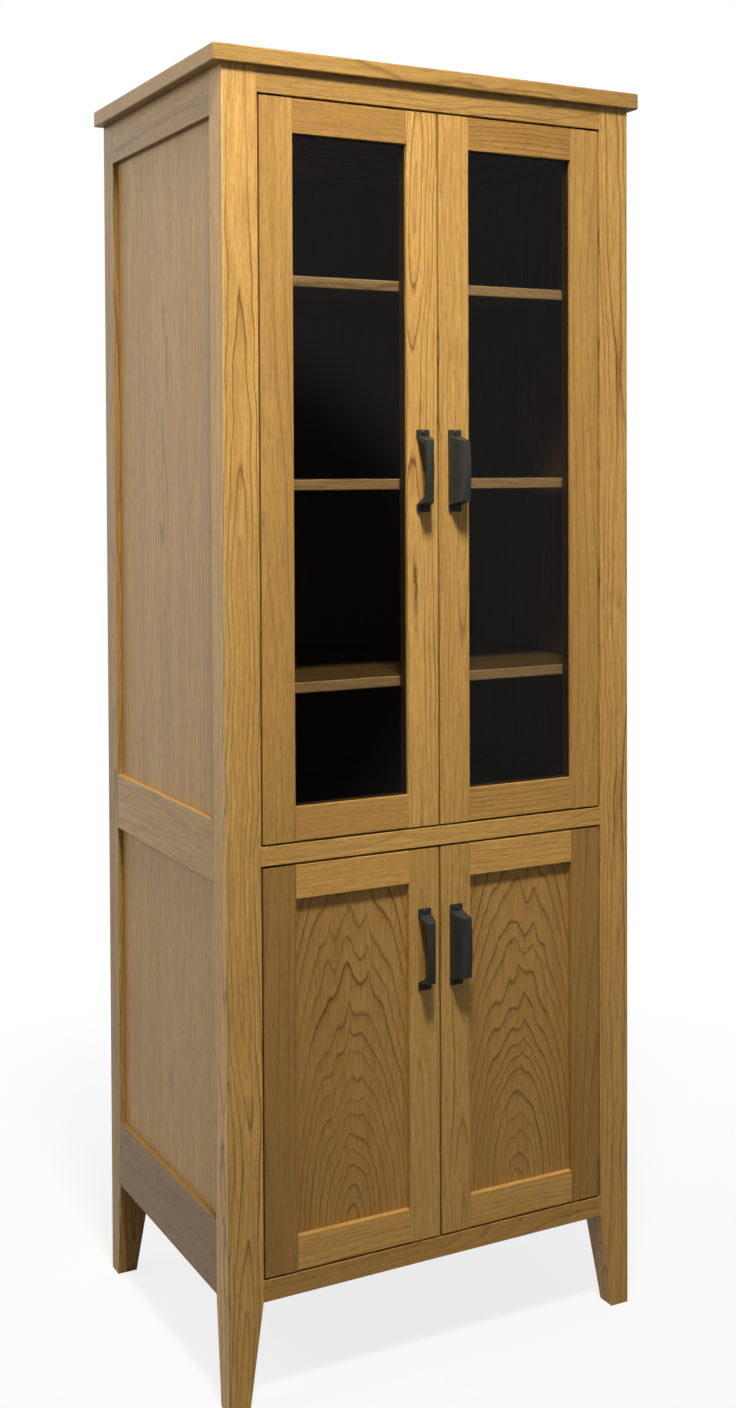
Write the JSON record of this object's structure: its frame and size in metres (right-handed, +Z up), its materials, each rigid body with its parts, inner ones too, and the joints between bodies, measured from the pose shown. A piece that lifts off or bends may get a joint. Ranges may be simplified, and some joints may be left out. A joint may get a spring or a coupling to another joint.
{
  "type": "china cabinet",
  "caption": "Tall oak display cabinet on tapered legs: glazed doors over panelled doors, recessed side panels, adjustable shelves and black cast pulls.",
  "frame": {"origin": "on the floor, at the centre of the bounding box seen from above", "axes": "+Z up, the doors face -Y, +X towards the right-hand doors seen from the front"},
  "size_m": [0.676, 0.5, 1.8],
  "materials": {
    "frame_oak": "satin lacquer over stained oak, straight and cathedral grain",
    "panel_oak": "satin lacquer over crown-cut oak veneer",
    "shelf_oak": "satin lacquer",
    "back_panel_wood": "dark stained, matt",
    "door_glass": "clear float glass, slightly smoked",
    "black_iron": "satin black",
    "zinc_steel": "zinc plated",
    "dark_steel": "blackened and oiled",
    "catch_plastic": "moulded, brown"
  },
  "bodies": {
    "cabinet": {"back_panel": "back_panel_wood", "bottom_deck": "shelf_oak", "case_pivot_leaves": "dark_steel", "front_bottom_rail": "frame_oak", "front_left_post": "frame_oak", "front_mid_rail": "frame_oak", "front_right_post": "frame_oak", "front_top_rail": "frame_oak", "left_lower_side_panel": "panel_oak", "left_upper_side_panel": "panel_oak", "lower_shelf": "shelf_oak", "magnet_catches": "catch_plastic", "middle_deck": "shelf_oak", "rear_left_post": "frame_oak", "rear_rails": "frame_oak", "rear_right_post": "frame_oak", "right_lower_side_panel": "panel_oak", "right_upper_side_panel": "panel_oak", "shelf_pins": "zinc_steel", "side_bottom_rails": "frame_oak", "side_mid_rails": "frame_oak", "side_top_rails": "frame_oak", "top_board": "frame_oak", "upper_shelf_bottom": "shelf_oak", "upper_shelf_middle": "shelf_oak", "upper_shelf_top": "shelf_oak"},
    "upper_left_door": {"upper_left_door_glass": "door_glass", "upper_left_door_glazing_beads": "frame_oak", "upper_left_door_handle": "black_iron", "upper_left_door_handle_screws": "black_iron", "upper_left_door_hinge_stile": "frame_oak", "upper_left_door_meeting_stile": "frame_oak", "upper_left_door_pivot_leaves": "dark_steel", "upper_left_door_rails": "frame_oak", "upper_left_door_strike_plate": "zinc_steel"},
    "upper_right_door": {"upper_right_door_glass": "door_glass", "upper_right_door_glazing_beads": "frame_oak", "upper_right_door_handle": "black_iron", "upper_right_door_handle_screws": "black_iron", "upper_right_door_hinge_stile": "frame_oak", "upper_right_door_meeting_stile": "frame_oak", "upper_right_door_pivot_leaves": "dark_steel", "upper_right_door_rails": "frame_oak", "upper_right_door_strike_plate": "zinc_steel"},
    "lower_left_door": {"lower_left_door_handle": "black_iron", "lower_left_door_handle_screws": "black_iron", "lower_left_door_hinge_stile": "frame_oak", "lower_left_door_meeting_stile": "frame_oak", "lower_left_door_panel": "panel_oak", "lower_left_door_pivot_leaves": "dark_steel", "lower_left_door_rails": "frame_oak", "lower_left_door_strike_plate": "zinc_steel"},
    "lower_right_door": {"lower_right_door_handle": "black_iron", "lower_right_door_handle_screws": "black_iron", "lower_right_door_hinge_stile": "frame_oak", "lower_right_door_meeting_stile": "frame_oak", "lower_right_door_panel": "panel_oak", "lower_right_door_pivot_leaves": "dark_steel", "lower_right_door_rails": "frame_oak", "lower_right_door_strike_plate": "zinc_steel"}
  },
  "joints": [
    {"name": "upper_left_door_hinge", "type": "hinge", "parent": "cabinet", "child": "upper_left_door", "pos_m": [-0.2605, -0.2145, 1.246], "axis": [0, 0, -1], "range_deg": [0, 110]},
    {"name": "upper_right_door_hinge", "type": "hinge", "parent": "cabinet", "child": "upper_right_door", "pos_m": [0.2605, -0.2145, 1.246], "axis": [0, 0, 1], "range_deg": [0, 110]},
    {"name": "lower_left_door_hinge", "type": "hinge", "parent": "cabinet", "child": "lower_left_door", "pos_m": [-0.2605, -0.2145, 0.446], "axis": [0, 0, -1], "range_deg": [0, 110]},
    {"name": "lower_right_door_hinge", "type": "hinge", "parent": "cabinet", "child": "lower_right_door", "pos_m": [0.2605, -0.2145, 0.446], "axis": [0, 0, 1], "range_deg": [0, 110]}
  ]
}
